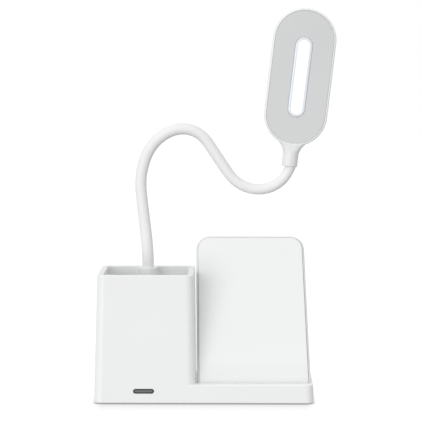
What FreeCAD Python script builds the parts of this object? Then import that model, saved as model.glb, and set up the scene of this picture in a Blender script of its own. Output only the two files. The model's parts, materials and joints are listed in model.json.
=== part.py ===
import FreeCAD, Part
import math
import os
import re
import Sketcher
from FreeCAD import Placement, Rotation, Vector

# A desk lamp on a base with a pen well and a leaning phone stand.
# Millimetres, +Z up, X across the front, +Y towards the back, the feet stand on Z = 0.

doc = FreeCAD.newDocument("DeskLamp")

sizes = {
    # base: a pen well on the left and a low plinth on the right
    "base_depth": 80.0, "base_left": 95.0, "base_right": 76.0,
    "rim_height": 100.5, "ledge_height": 15.2, "cup_right": 16.35, "stand_step": 0.4,
    "corner_round": 6.0, "rim_round": 0.9, "ledge_round": 1.0, "bottom_round": 0.9,
    "base_wall": 2.8, "floor_wall": 2.5,
    "rim_wall": 4.7, "well_floor": 24.0, "well_corner": 1.5, "well_throat": 3.0,
    # column in the well, and the tube that it holds
    "column_shift": 0.675, "column_setback": 15.3, "column_radius": 7.3,
    "stem_bottom": 14.5, "stem_bore": 2.2, "nut_width": 14.0, "nut_height": 3.5,
    # floor plate, feet, ballast and screws
    "plate_height": 3.0, "plate_gap": 0.3,
    "foot_radius": 5.0, "foot_proud": 0.6, "foot_seat": 0.8, "foot_inset_x": 14.0, "foot_inset_y": 10.0,
    "ballast_length": 70.0, "ballast_width": 52.0, "ballast_height": 6.0, "ballast_x": 24.0,
    "post_radius": 3.5, "post_inset": 5.0, "screw_head_radius": 2.6, "screw_head_height": 1.8,
    "screw_radius": 1.2, "pilot_gap": 0.05, "hole_gap": 0.25, "tip_gap": 0.5, "plate_screw_length": 7.0,
    # circuit board with window, lights, touch pad and socket
    "board_length": 50.0, "board_bottom": 7.0, "board_height": 1.6, "board_post_inset": 4.5,
    "board_screw_length": 7.0, "board_gap": 0.3, "board_back_gap": 0.8,
    "window_shift": 0.625, "window_length": 16.2, "window_height": 3.6, "window_z": 10.1,
    "window_recess": 0.15, "window_flange": 1.2, "window_flange_height": 1.0, "fit_gap": 0.1,
    "light_side": 1.6, "light_spacing": 4.0, "pad_width": 14.0, "pad_height": 0.4, "pad_rise": 2.4,
    "socket_width": 9.2, "socket_height": 3.3, "socket_length": 7.4, "socket_wall": 0.35,
    "socket_recess": 0.6, "tongue_width": 6.2, "tongue_height": 0.7, "tongue_recess": 0.9,
    # phone stand: shell, front plate, coil and ferrite
    "ledge_depth": 10.0, "stand_length": 118.3, "stand_thickness": 9.0,
    "stand_left": 14.9, "stand_right": 73.9, "stand_corner": 11.0,
    "stand_rim": 1.65, "stand_shelf": 3.0, "stand_wall": 1.8, "stand_edge_round": 1.5,
    "stand_back_round": 2.0, "stand_foot": 14.0,
    "face_height": 2.2, "face_proud": 0.7, "face_edge_round": 0.5, "face_lift": 0.05, "face_gap": 0.12,
    "stand_screw_x": 27.0, "stand_screw_setback": 7.0, "stand_screw_length": 9.0,
    "coil_radius": 24.0, "coil_hole": 10.0, "coil_height": 1.2, "coil_rise": 64.0,
    "ferrite_side": 52.0, "ferrite_height": 1.0, "ferrite_corner": 3.0,
    # gooseneck: eight links, each a tangent arc of one length
    "hose_radius": 4.5, "conduit_radius": 3.6, "sleeve_wall": 0.8, "wire_bore": 1.6,
    "link_length": 30.2, "joint_gap": 0.3, "ball_gap": 0.15,
    # head: cover with neck, face plate, lens, light frame and light strip
    "head_length": 109.6, "head_width": 50.2, "head_thickness": 12.0,
    "head_back_round": 3.2, "head_front_round": 0.6,
    "head_rim": 1.6, "head_shelf": 1.8, "head_wall": 1.8,
    "neck_radius": 6.2, "neck_length": 16.6, "neck_straight": 8.0, "neck_edge_round": 0.5,
    "flare_half_width": 11.4, "flare_half_depth": 5.6, "flare_rise": 11.5, "flare_step": 0.03,
    "ferrule_radius": 3.6, "ferrule_length": 8.0, "ferrule_rise": 6.0, "ferrule_gap": 0.05,
    "panel_height": 1.8, "panel_recess": 0.3,
    "peg_radius": 1.2, "peg_post_radius": 2.4, "peg_length": 3.0, "peg_x": 17.0, "peg_rise": 26.0,
    "lens_length": 63.6, "lens_width": 13.5, "lens_proud": 0.7, "lens_bevel": 0.6,
    "lens_flange": 1.2, "lens_flange_height": 1.0, "frame_wall": 1.0,
    "strip_width": 10.0, "strip_height": 1.2, "strip_setback": 2.6, "strip_end_gap": 2.3,
    "strip_edge": 0.2, "strip_screw_length": 5.0,
    "chip_side": 2.8, "chip_height": 0.7, "chip_gap": 0.2,
    # how far a cut runs past the surface that it opens
    "overshoot": 1.0,
}
# in degrees: drafts of the upright sides, lean of the stand, bend of each link, tilt of the head
angles = {
    "left_draft": 1.6, "slot_draft": 0.75, "right_draft": 2.5, "lean": 18.0, "head_tilt": 6.8,
    "bend_1": 7.3, "bend_2": -1.3, "bend_3": -28.8, "bend_4": -48.9,
    "bend_5": -74.6, "bend_6": 0.0, "bend_7": 59.5, "bend_8": 66.8,
}
words = {**sizes, **angles}
link_count = 8
chip_count = 10
light_count = 4
flare_sections = 5
flare_power = 2.4
straight_share = 0.9
touch = 0.01

sheet = doc.addObject("Spreadsheet::Sheet", "Sizes")
for row, (word, number) in enumerate(words.items(), start=1):
    sheet.set(f"A{row}", word)
    sheet.set(f"B{row}", str(number))
    sheet.setAlias(f"B{row}", word)
doc.recompute()


def size(word):
    return float(sheet.get(word))


def expand(formula):
    """Every word of the sheet in a formula gets the sheet's name in front of it."""
    return re.sub(r"[a-z]\w*", lambda m: "Sizes." + m.group(0) if m.group(0) in words else m.group(0),
                  str(formula))


def worth(formula):
    """The number that a formula gives with the present sizes."""
    return float(sheet.evalExpression(expand(formula)))


def bind(thing, **formulas):
    """Bind properties to formulas; a double underscore in a name stands for a dot."""
    for name, formula in formulas.items():
        thing.setExpression(name.replace("__", "."), expand(formula))
    return thing


# ---- small builders -----------------------------------------------------------------------------

def make(kind, name, **formulas):
    return bind(doc.addObject(kind, name), **formulas)


def at(thing, x=0, y=0, z=0):
    return bind(thing, Placement__Base__x=x, Placement__Base__y=y, Placement__Base__z=z)


def block(name, x, y, z):
    """A box between two formulas along each axis."""
    box = make("Part::Box", name, Length=f"({x[1]}) - ({x[0]})", Width=f"({y[1]}) - ({y[0]})",
               Height=f"({z[1]}) - ({z[0]})")
    return at(box, x[0], y[0], z[0])


def rod(name, radius, z, x=0, y=0):
    """An upright cylinder between two heights."""
    return at(make("Part::Cylinder", name, Radius=radius, Height=f"({z[1]}) - ({z[0]})"), x, y, z[0])


def rodAlongY(name, radius, y, x=0, z=0):
    """A cylinder along +Y between two depths."""
    bar = make("Part::Cylinder", name, Radius=radius, Height=f"({y[1]}) - ({y[0]})")
    bar.Placement.Rotation = Rotation(Vector(1, 0, 0), -90)
    return at(bar, x, y[0], z)


def fuse(name, *parts):
    joined = doc.addObject("Part::MultiFuse", name)
    joined.Shapes = list(parts)
    return joined


def cut(name, base, *tools):
    result = doc.addObject("Part::Cut", name)
    result.Base = base
    result.Tool = tools[0] if len(tools) == 1 else fuse(name + "_tools", *tools)
    return result


def group(name, parts):
    """Separate solids that share one node."""
    bundle = doc.addObject("Part::Compound", name)
    bundle.Links = list(parts)
    return bundle


def body(name):
    return doc.addObject("PartDesign::Body", name)


def sketchOn(owner, role, lift=0):
    plane = next(item for item in owner.Origin.OriginFeatures if item.Role == role)
    sketch = owner.newObject("Sketcher::SketchObject", owner.Name + "_sketch")
    sketch.AttachmentSupport = [(plane, "")]
    sketch.MapMode = "FlatFace"
    return bind(sketch, AttachmentOffset__Base__z=lift)


def fixPoint(sketch, part, end, x, y):
    """Hold one point of a sketch at a place given by two formulas."""
    for kind, formula in (("DistanceX", x), ("DistanceY", y)):
        index = sketch.addConstraint(Sketcher.Constraint(kind, -1, 1, part, end, worth(formula)))
        sketch.setExpression(f"Constraints[{index}]", expand(formula))


def polygon(sketch, corners):
    """Straight sides between corners that are given by formulas."""
    count = len(corners)
    points = [Vector(worth(x), worth(y), 0) for x, y in corners]
    for i in range(count):
        sketch.addGeometry(Part.LineSegment(points[i], points[(i + 1) % count]), False)
    for i in range(count):
        sketch.addConstraint(Sketcher.Constraint("Coincident", i, 2, (i + 1) % count, 1))
    for i, (x, y) in enumerate(corners):
        fixPoint(sketch, i, 1, x, y)
    return sketch


def racetrack(sketch, half_x, half_y, radius, x=0, y=0):
    """A slot outline: two half circles whose centres lie half_x or half_y from the middle.
    One of half_x and half_y is 0, and the slot runs along the other."""
    first = (f"({x}) - ({half_x})", f"({y}) - ({half_y})")
    last = (f"({x}) + ({half_x})", f"({y}) + ({half_y})")
    near, far = Vector(worth(first[0]), worth(first[1]), 0), Vector(worth(last[0]), worth(last[1]), 0)
    reach, up = worth(radius), Vector(0, 0, 1)
    turn = math.pi if half_x == 0 else math.pi / 2
    side = Vector(math.cos(turn), math.sin(turn), 0) * reach
    sketch.addGeometry(Part.ArcOfCircle(Part.Circle(near, up, reach), turn, turn + math.pi), False)
    sketch.addGeometry(Part.ArcOfCircle(Part.Circle(far, up, reach), turn + math.pi, turn + math.tau), False)
    sketch.addGeometry(Part.LineSegment(near - side, far - side), False)
    sketch.addGeometry(Part.LineSegment(far + side, near + side), False)
    for arc, arc_end, line, line_end in ((0, 2, 2, 1), (2, 2, 1, 1), (1, 2, 3, 1), (3, 2, 0, 1)):
        sketch.addConstraint(Sketcher.Constraint("Tangent", arc, arc_end, line, line_end))
    index = sketch.addConstraint(Sketcher.Constraint("Radius", 0, reach))
    sketch.setExpression(f"Constraints[{index}]", expand(radius))
    sketch.addConstraint(Sketcher.Constraint("Equal", 0, 1))
    fixPoint(sketch, 0, 3, *first)
    fixPoint(sketch, 1, 3, *last)
    return sketch


def pad(owner, sketch, length, both=False, back=False):
    feature = owner.newObject("PartDesign::Pad", owner.Name + "_pad")
    feature.Profile = sketch
    feature.SideType = "Symmetric" if both else "One side"
    feature.Reversed = back
    return bind(feature, Length=length)


def pocket(owner, sketch, length):
    """A cut that reaches the same way on both sides of its sketch."""
    feature = owner.newObject("PartDesign::Pocket", owner.Name + "_pocket")
    feature.Profile = sketch
    feature.SideType = "Symmetric"
    return bind(feature, Length=length)


def edgesOf(owner, test):
    doc.recompute()
    names = [f"Edge{i}" for i, edge in enumerate(owner.Tip.Shape.Edges, start=1) if test(edge)]
    if not names:
        raise RuntimeError(f"{owner.Name}: no edge passes the test")
    return owner.Tip, names


def roundEdges(owner, radius, test):
    """Fillet the edges of a body that pass a test."""
    base, names = edgesOf(owner, test)
    feature = owner.newObject("PartDesign::Fillet", owner.Name + "_round")
    feature.Base = (base, names)
    return bind(feature, Radius=radius)


def bevelEdges(owner, length, test):
    base, names = edgesOf(owner, test)
    feature = owner.newObject("PartDesign::Chamfer", owner.Name + "_bevel")
    feature.Base = (base, names)
    return bind(feature, Size=length)


def runsAlong(edge, axis):
    """True where an edge is straight and lies mostly along one axis."""
    if edge.Curve.TypeId != "Part::GeomLine":
        return False
    run = edge.Vertexes[-1].Point - edge.Vertexes[0].Point
    return abs(run[axis]) > straight_share * run.Length


def liesAt(edge, axis, place):
    box = edge.BoundBox
    low = (box.XMin, box.YMin, box.ZMin)[axis]
    high = (box.XMax, box.YMax, box.ZMax)[axis]
    return abs(low - place) < touch and abs(high - place) < touch


def roundedBlock(name, x, y, z, radius):
    """A plate or block with its upright edges rounded."""
    owner = body(name)
    outline = polygon(sketchOn(owner, "XY_Plane", z[0]),
                      [(x[0], y[0]), (x[1], y[0]), (x[1], y[1]), (x[0], y[1])])
    pad(owner, outline, f"({z[1]}) - ({z[0]})")
    roundEdges(owner, radius, lambda edge: runsAlong(edge, 2))
    return owner


finished = []


def finish(thing, name, place=None):
    """Name a sub-part and put it in its place."""
    if place is not None:
        thing.Placement = place
    thing.Label = name
    finished.append(thing)
    return thing


# ---- places that several pieces share ---------------------------------------------------------

half_depth = "base_depth / 2"
front = "(-base_depth / 2)"
back = "(base_depth / 2)"
cup_roof = "(well_floor - floor_wall)"
plinth_roof = "(ledge_height - stand_step - floor_wall)"
plate_top = "(foot_proud + plate_height)"
head_top = "(foot_proud + screw_head_height)"
plinth_top = "(ledge_height - stand_step)"
cup_middle = "(-(base_left + cup_right) / 2)"
column_x = f"({cup_middle} + column_shift)"
column_y = f"({half_depth} - column_setback)"
window_x = f"({cup_middle} - window_shift)"
inner_round = "(corner_round - base_wall)"
pilot = "screw_radius + pilot_gap"
clear_hole = "screw_radius + hole_gap"
above_rim = "(rim_height + overshoot)"


def leftAt(z):
    return f"(-base_left + (({z}) - foot_proud) * tan(left_draft * 1 deg))"


def cupRightAt(z):
    return f"(-cup_right - (({z}) - ledge_height) * tan(slot_draft * 1 deg))"


def plinthRightAt(z):
    return f"(base_right - (({z}) - foot_proud) * tan(right_draft * 1 deg))"


inside_left = f"({leftAt(cup_roof)} + base_wall)"
inside_middle = "(-cup_right - base_wall)"
inside_right = f"({plinthRightAt('ledge_height')} - base_wall)"
inside_front = f"({front} + base_wall)"
inside_back = f"({back} - base_wall)"

post_places = [(x, y) for x in (f"{inside_left} + post_inset", f"{inside_middle} - post_inset",
                                f"{inside_right} - post_inset")
               for y in (f"{inside_front} + post_inset", f"{inside_back} - post_inset")]
post_roofs = [cup_roof] * 4 + [plinth_roof] * 2

board_top = "(board_bottom + board_height)"
board_x = (f"({window_x} - board_length / 2)", f"({window_x} + board_length / 2)")
board_y = (f"({inside_front} + window_flange_height + board_gap)", f"({inside_back} - board_back_gap)")
board_places = [(x, y) for x in (f"{board_x[0]} + board_post_inset", f"{board_x[1]} - board_post_inset")
                for y in (f"{board_y[0]} + board_post_inset", f"{board_y[1]} - board_post_inset")]
socket_z = f"({board_top} + socket_height / 2)"
socket_y = (f"({back} - socket_recess - socket_length)", f"({back} - socket_recess)")

stand_y = f"({front} + ledge_depth)"
stand_middle = "((stand_right - stand_left) / 2)"
stand_screw_places = [(f"{stand_middle} {side} stand_screw_x", f"{stand_y} + stand_screw_setback")
                      for side in ("-", "+")]


# ---- base housing -----------------------------------------------------------------------------

def cupBlock():
    """The pen well: leaning side walls, a thick rim and the column for the gooseneck."""
    owner = body("cup_block")
    low, high = "foot_proud", "rim_height"
    outline = polygon(sketchOn(owner, "XZ_Plane"), [
        (leftAt(low), low), (cupRightAt(low), low), (cupRightAt(high), high), (leftAt(high), high)])
    pad(owner, outline, "base_depth", both=True)
    roundEdges(owner, "corner_round", lambda edge: runsAlong(edge, 2))
    well = polygon(sketchOn(owner, "XZ_Plane"), [
        (leftAt("well_floor") + "+ rim_wall", "well_floor"),
        (cupRightAt("well_floor") + "- rim_wall", "well_floor"),
        (cupRightAt(above_rim) + "- rim_wall", above_rim),
        (leftAt(above_rim) + "+ rim_wall", above_rim)])
    pocket(owner, well, "base_depth - 2 * rim_wall")
    well_y = size("base_depth") / 2 - size("rim_wall")
    roundEdges(owner, "well_corner", lambda edge: runsAlong(edge, 2)
               and abs(abs(edge.CenterOfMass.y) - well_y) < touch)
    column_foot = "well_floor - floor_wall / 2"
    column = owner.newObject("PartDesign::AdditiveCylinder", "column")
    bind(column, Radius="column_radius", Height=f"rim_height - ({column_foot})")
    at(column, column_x, column_y, column_foot)
    web = owner.newObject("PartDesign::AdditiveBox", "column_web")
    bind(web, Length="2 * column_radius", Width=f"{half_depth} - rim_wall / 2 - {column_y}",
         Height=f"rim_height - ({column_foot})")
    at(web, f"{column_x} - column_radius", column_y, column_foot)
    roundEdges(owner, "well_throat", lambda edge: runsAlong(edge, 2)
               and abs(edge.CenterOfMass.y - well_y) < touch
               and abs(edge.CenterOfMass.x - worth(column_x)) < size("column_radius") + touch)
    roundEdges(owner, "rim_round", lambda edge: liesAt(edge, 2, size("rim_height")))
    corner_x = -size("cup_right") - size("corner_round")
    roundEdges(owner, "bottom_round", lambda edge: liesAt(edge, 2, size("foot_proud"))
               and edge.BoundBox.XMin < corner_x - touch)
    return owner


def plinthBlock():
    """The low plinth that runs from inside the cup to the right end. Behind the ledge its top is a
    step lower, and the stand sits on that."""
    owner = body("plinth_block")
    start = "(-cup_right - base_wall - corner_round)"
    outline = polygon(sketchOn(owner, "XZ_Plane"), [
        (start, "foot_proud"), (plinthRightAt("foot_proud"), "foot_proud"),
        (plinthRightAt("ledge_height"), "ledge_height"), (start, "ledge_height")])
    pad(owner, outline, "base_depth", both=True)
    start_x = -size("cup_right") - size("base_wall") - size("corner_round")
    roundEdges(owner, "corner_round", lambda edge: runsAlong(edge, 2) and edge.CenterOfMass.x > 0)
    for radius, level in (("ledge_round", "ledge_height"), ("bottom_round", "foot_proud")):
        roundEdges(owner, radius, lambda edge: liesAt(edge, 2, size(level))
                   and not liesAt(edge, 0, start_x))
    step = polygon(sketchOn(owner, "YZ_Plane"), [
        (stand_y, plinth_top), (f"{back} + overshoot", plinth_top),
        (f"{back} + overshoot", "ledge_height + overshoot"), (stand_y, "ledge_height + overshoot")])
    pocket(owner, step, "4 * base_left")
    return owner


def baseHousing():
    """Cup and plinth in one shell, open below, with screw posts under its roofs."""
    under = "foot_proud - overshoot"
    voids = [
        roundedBlock("cup_inside", (inside_left, inside_middle), (inside_front, inside_back),
                     (under, cup_roof), inner_round),
        roundedBlock("plinth_inside", (inside_left, inside_right), (inside_front, inside_back),
                     (under, plinth_roof), inner_round)]
    shell = cut("housing_shell", fuse("housing_blocks", cupBlock(), plinthBlock()), *voids)
    posts = [rod(f"plate_post_{i}", "post_radius", (plate_top, f"{post_roofs[i]} + floor_wall / 2"), x, y)
             for i, (x, y) in enumerate(post_places)]
    posts += [rod(f"board_post_{i}", "post_radius", (board_top, f"{cup_roof} + floor_wall / 2"), x, y)
              for i, (x, y) in enumerate(board_places)]
    holes = [rod(f"plate_pilot_{i}", pilot, (plate_top, f"{head_top} + plate_screw_length + tip_gap"), x, y)
             for i, (x, y) in enumerate(post_places)]
    holes += [rod(f"board_pilot_{i}", pilot,
                  (board_top, "board_bottom + board_screw_length + tip_gap"), x, y)
              for i, (x, y) in enumerate(board_places)]
    holes += [rod(f"stand_hole_{i}", clear_hole, (f"{plinth_roof} - overshoot", "ledge_height"), x, y)
              for i, (x, y) in enumerate(stand_screw_places)]
    holes.append(rod("stem_hole", "hose_radius + joint_gap", (f"{cup_roof} - overshoot", above_rim),
                     column_x, column_y))
    holes.append(lyingSlot("window_hole", "window_length", "window_height", "fit_gap", "window_z",
                           (f"{front} - overshoot", f"{inside_front} + overshoot")))
    holes.append(lyingSlot("socket_hole", "socket_width", "socket_height", "fit_gap", socket_z,
                           (f"{inside_back} - overshoot", f"{back} + overshoot")))
    finish(cut("housing_part", fuse("housing_with_posts", shell, *posts), *holes), "base_housing")


def lyingSlot(name, length, width, grow, z, y):
    """A lying slot in line with the window, grown all round, between two depths."""
    owner = body(name)
    outline = racetrack(sketchOn(owner, "XZ_Plane", f"-({y[0]})"), f"({length} - {width}) / 2", 0,
                        f"{width} / 2 + {grow}", window_x, z)
    pad(owner, outline, f"({y[1]}) - ({y[0]})", back=True)
    return owner


# ---- floor plate, feet, ballast and their screws ----------------------------------------------

def screws(name, places, seat, length):
    """Pan head screws that point up, with their heads below the seat."""
    pieces = []
    for i, (x, y) in enumerate(places):
        head = rod(f"{name}_head_{i}", "screw_head_radius", (f"{seat} - screw_head_height", seat), x, y)
        shank = rod(f"{name}_shank_{i}", "screw_radius", (seat, f"{seat} + {length}"), x, y)
        pieces.append(fuse(f"{name}_{i}", head, shank))
    finish(group(name + "_group", pieces), name)


def floorParts():
    plate = roundedBlock("plate_block", (f"{inside_left} + plate_gap", f"{inside_right} - plate_gap"),
                         (f"{inside_front} + plate_gap", f"{inside_back} - plate_gap"),
                         ("foot_proud", plate_top), inner_round)
    foot_places = [(x, y) for x in (f"{inside_left} + foot_inset_x", f"{inside_right} - foot_inset_x")
                   for y in (f"{inside_front} + foot_inset_y", f"{inside_back} - foot_inset_y")]
    foot_top = "foot_proud + foot_seat"
    under = "foot_proud - overshoot"
    tools = [rod(f"foot_seat_{i}", "foot_radius + fit_gap", (under, foot_top), x, y)
             for i, (x, y) in enumerate(foot_places)]
    tools += [rod(f"head_seat_{i}", "screw_head_radius + hole_gap", (under, head_top), x, y)
              for i, (x, y) in enumerate(post_places)]
    tools += [rod(f"shank_hole_{i}", clear_hole, ("foot_proud", f"{plate_top} + overshoot"), x, y)
              for i, (x, y) in enumerate(post_places)]
    finish(cut("bottom_plate_part", plate, *tools), "bottom_plate")
    feet = [rod(f"foot_{i}", "foot_radius", (0, foot_top), x, y) for i, (x, y) in enumerate(foot_places)]
    finish(group("feet_group", feet), "rubber_feet")
    screws("plate_screws", post_places, head_top, "plate_screw_length")
    ballast = roundedBlock("ballast_block",
                           ("ballast_x - ballast_length / 2", "ballast_x + ballast_length / 2"),
                           ("-ballast_width / 2", "ballast_width / 2"),
                           (plate_top, f"{plate_top} + ballast_height"), "post_radius")
    finish(ballast, "ballast_plate")


# ---- circuit board, window, lights, touch pad and socket --------------------------------------

def boardParts():
    board = block("board_blank", board_x, board_y, ("board_bottom", board_top))
    holes = [rod(f"board_hole_{i}", clear_hole,
                 ("board_bottom - overshoot", f"{board_top} + overshoot"), x, y)
             for i, (x, y) in enumerate(board_places)]
    finish(cut("main_board_part", board, *holes), "main_board")
    screws("board_screws", board_places, "board_bottom", "board_screw_length")
    light = "light_side / 2"
    lights = []
    for i in range(light_count):
        middle = f"{window_x} + {i - (light_count - 1) / 2} * light_spacing"
        lights.append(block(f"status_light_{i}", (f"{middle} - {light}", f"{middle} + {light}"),
                            (board_y[0], f"{board_y[0]} + light_side"),
                            (board_top, f"{board_top} + light_side")))
    finish(group("status_lights_group", lights), "status_lights")
    pad_y = (board_y[0], f"{board_y[0]} + pad_height")
    leg = block("touch_leg", (f"{window_x} - light_side / 4", f"{window_x} + light_side / 4"), pad_y,
                (board_top, f"{board_top} + pad_rise"))
    face = block("touch_face", (f"{window_x} - pad_width / 2", f"{window_x} + pad_width / 2"), pad_y,
                 (f"{board_top} + pad_rise", "window_z + window_height / 2 + window_flange"))
    finish(fuse("touch_pad_part", leg, face), "touch_pad")
    pane = lyingSlot("window_pane", "window_length", "window_height", 0, "window_z",
                     (f"{front} + window_recess", inside_front))
    flange = lyingSlot("window_flange", "window_length", "window_height", "window_flange", "window_z",
                       (inside_front, f"{inside_front} + window_flange_height"))
    finish(fuse("window_part", pane, flange), "status_window")
    shell = lyingSlot("socket_outer", "socket_width", "socket_height", 0, socket_z, socket_y)
    mouth = lyingSlot("socket_mouth", "socket_width", "socket_height", "(-socket_wall)", socket_z,
                      (f"{socket_y[0]} + socket_wall", f"{socket_y[1]} + overshoot"))
    tongue = block("socket_tongue", (f"{window_x} - tongue_width / 2", f"{window_x} + tongue_width / 2"),
                   (f"{socket_y[0]} + socket_wall / 2", f"{socket_y[1]} - tongue_recess"),
                   (f"{socket_z} - tongue_height / 2", f"{socket_z} + tongue_height / 2"))
    finish(fuse("socket_part", cut("socket_shell", shell, mouth), tongue), "usb_socket")


# ---- phone stand, built upright in its own frame and then leaned back ---------------------------
# The frame starts at the foot of the front face: x across, y into the stand, z up the slope.

def standLeftAt(z):
    return f"(-stand_left - ({z}) * tan(slot_draft * 1 deg))"


def standRightAt(z):
    return f"(stand_right - ({z}) * tan(right_draft * 1 deg))"


def standBlock(name, inset, low, y, corner):
    """The stand's front outline, moved in by an inset, between two depths."""
    owner = body(name)
    high = f"(stand_length - ({inset}))"
    outline = polygon(sketchOn(owner, "XZ_Plane", f"-({y[0]})"), [
        (f"{standLeftAt(low)} + {inset}", low), (f"{standRightAt(low)} - {inset}", low),
        (f"{standRightAt(high)} - {inset}", high), (f"{standLeftAt(high)} + {inset}", high)])
    pad(owner, outline, f"({y[1]}) - ({y[0]})", back=True)
    top = owner.Tip
    doc.recompute()
    top_z = top.Shape.BoundBox.ZMax
    roundEdges(owner, corner, lambda edge: liesAt(edge, 2, top_z) and runsAlong(edge, 1))
    return owner


def footCut(owner, lift):
    """Cut a leaning piece off level, a lift above the height of the ledge."""
    def slope(y):
        return f"({lift}) / cos(lean * 1 deg) + ({y}) * tan(lean * 1 deg)"
    near, far = "(-overshoot)", "(stand_thickness + overshoot)"
    outline = polygon(sketchOn(owner, "YZ_Plane"), [
        (near, slope(near)), (near, "-stand_thickness"), (far, "-stand_thickness"), (far, slope(far))])
    pocket(owner, outline, "2 * (stand_left + stand_right)")


def phoneStand():
    lean = size("lean")
    place = Placement(Vector(0, size("ledge_depth") - size("base_depth") / 2, size("ledge_height")),
                      Rotation(Vector(1, 0, 0), -lean))
    face_back = "face_height"
    shell = standBlock("stand_block", 0, "(-2 * stand_step)", ("face_proud", "stand_thickness"),
                       "stand_corner")
    front_y, back_y = size("face_proud"), size("stand_thickness")
    foot_z = -2 * size("stand_step")
    for radius, y in (("stand_edge_round", front_y), ("stand_back_round", back_y)):
        roundEdges(shell, radius, lambda edge: liesAt(edge, 1, y) and not liesAt(edge, 2, foot_z))
    footCut(shell, "-stand_step")
    recess = standBlock("face_recess", "stand_rim", "(-overshoot)", ("-overshoot", face_back),
                        "stand_corner - stand_rim")
    inside = standBlock("stand_inside", "(stand_rim + stand_shelf)", "stand_foot",
                        ("0", "stand_thickness - stand_wall"), "stand_corner - stand_rim - stand_shelf")
    hollow = cut("stand_hollow", shell, recess, inside)
    hollow.Placement = place
    pilots = [rod(f"stand_pilot_{i}", pilot,
                  (plinth_roof, f"{plinth_roof} + stand_screw_length + tip_gap"), x, y)
              for i, (x, y) in enumerate(stand_screw_places)]
    finish(cut("stand_shell_part", hollow, *pilots), "stand_shell")
    screws("stand_screws", stand_screw_places, plinth_roof, "stand_screw_length")

    face = standBlock("stand_face_block", "(stand_rim + face_gap)", "0", ("0", face_back),
                      "stand_corner - stand_rim - face_gap")
    roundEdges(face, "face_edge_round", lambda edge: liesAt(edge, 1, 0) and not liesAt(edge, 2, 0))
    footCut(face, "face_lift")
    finish(face, "stand_face", place)

    coil_x = f"({standLeftAt('coil_rise')} + {standRightAt('coil_rise')}) / 2"
    coil_y = (face_back, f"{face_back} + coil_height")
    ring = cut("coil_ring", rodAlongY("coil_outer", "coil_radius", coil_y, coil_x, "coil_rise"),
               rodAlongY("coil_inner", "coil_hole", ("0", "stand_thickness"), coil_x, "coil_rise"))
    finish(ring, "charging_coil", place)
    ferrite = body("ferrite_block")
    sides = [(f"{coil_x} {a} ferrite_side / 2", f"coil_rise {b} ferrite_side / 2")
             for a, b in (("-", "-"), ("+", "-"), ("+", "+"), ("-", "+"))]
    outline = polygon(sketchOn(ferrite, "XZ_Plane", f"-({coil_y[1]})"), sides)
    pad(ferrite, outline, "ferrite_height", back=True)
    roundEdges(ferrite, "ferrite_corner", lambda edge: runsAlong(edge, 1))
    finish(ferrite, "coil_ferrite", place)


# ---- gooseneck ----------------------------------------------------------------------------------

def stem():
    """The straight tube in the column, clamped by a nut under the well's floor."""
    middle = (column_x, column_y)
    tube = rod("stem_outer", "hose_radius", ("stem_bottom", "rim_height"), *middle)
    bore = rod("stem_inner", "stem_bore", ("stem_bottom - overshoot", above_rim), *middle)
    finish(cut("stem_part", tube, bore), "stem_tube")
    nut = make("Part::Prism", "nut_blank", Circumradius="nut_width / 2 / cos(30 deg)", Height="nut_height")
    nut.Polygon = 6
    at(nut, *middle, f"{cup_roof} - nut_height")
    hole = rod("nut_hole", "hose_radius + pilot_gap",
               (f"{cup_roof} - nut_height - overshoot", f"{cup_roof} + overshoot"), *middle)
    finish(cut("nut_part", nut, hole), "stem_nut")


def arcCore(name, number, radius, reach=0):
    """A round bar along one link. In the link's frame the bar starts at the origin, heads along +y
    and turns towards -x; reach is how much further than the link it runs."""
    if size(f"bend_{number}") == 0:
        bar = make("Part::Cylinder", name, Radius=radius, Height=f"link_length + {reach}")
        bar.Placement.Rotation = Rotation(Vector(1, 0, 0), -90)
        return bar
    turn = f"abs(bend_{number}) * pi / 180"
    bar = make("Part::Torus", name, Radius1=f"link_length / ({turn})", Radius2=radius,
               Angle3=f"abs(bend_{number}) * (1 + ({reach}) / link_length) * 1 deg")
    return at(bar, f"-link_length / ({turn})")


def ball(name, radius, number=None):
    """A ball at a link's start, or at its far end where the link's number is given."""
    sphere = make("Part::Sphere", name, Radius=radius)
    if number is None:
        return sphere
    if size(f"bend_{number}") == 0:
        return at(sphere, 0, "link_length")
    turn = f"(abs(bend_{number}) * pi / 180)"
    degrees = f"(abs(bend_{number}) * 1 deg)"
    return at(sphere, f"-link_length / {turn} * (1 - cos({degrees}))",
              f"link_length / {turn} * sin({degrees})")


def linkPlaces():
    """Where each link starts and how it heads: a chain of tangent arcs in the upright plane."""
    length = size("link_length")
    x, z, heading = worth(column_x), size("rim_height"), math.radians(90)
    y = worth(column_y)
    places = []
    for number in range(1, link_count + 1):
        bend = math.radians(size(f"bend_{number}"))
        forward = Vector(math.cos(heading), 0, math.sin(heading))
        inward = Vector(-math.sin(heading), 0, math.cos(heading)) * (-1 if bend < 0 else 1)
        start = Vector(x, y, z)
        places.append(Placement(start, Rotation(-inward, forward, (-inward).cross(forward), "XYZ")))
        if bend == 0:
            step = forward * length
        else:
            radius = length / abs(bend)
            step = forward * radius * math.sin(abs(bend)) + inward * radius * (1 - math.cos(bend))
        x, z, heading = x + step.x, z + step.z, heading + bend
    return places, Vector(x, y, z)


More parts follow.
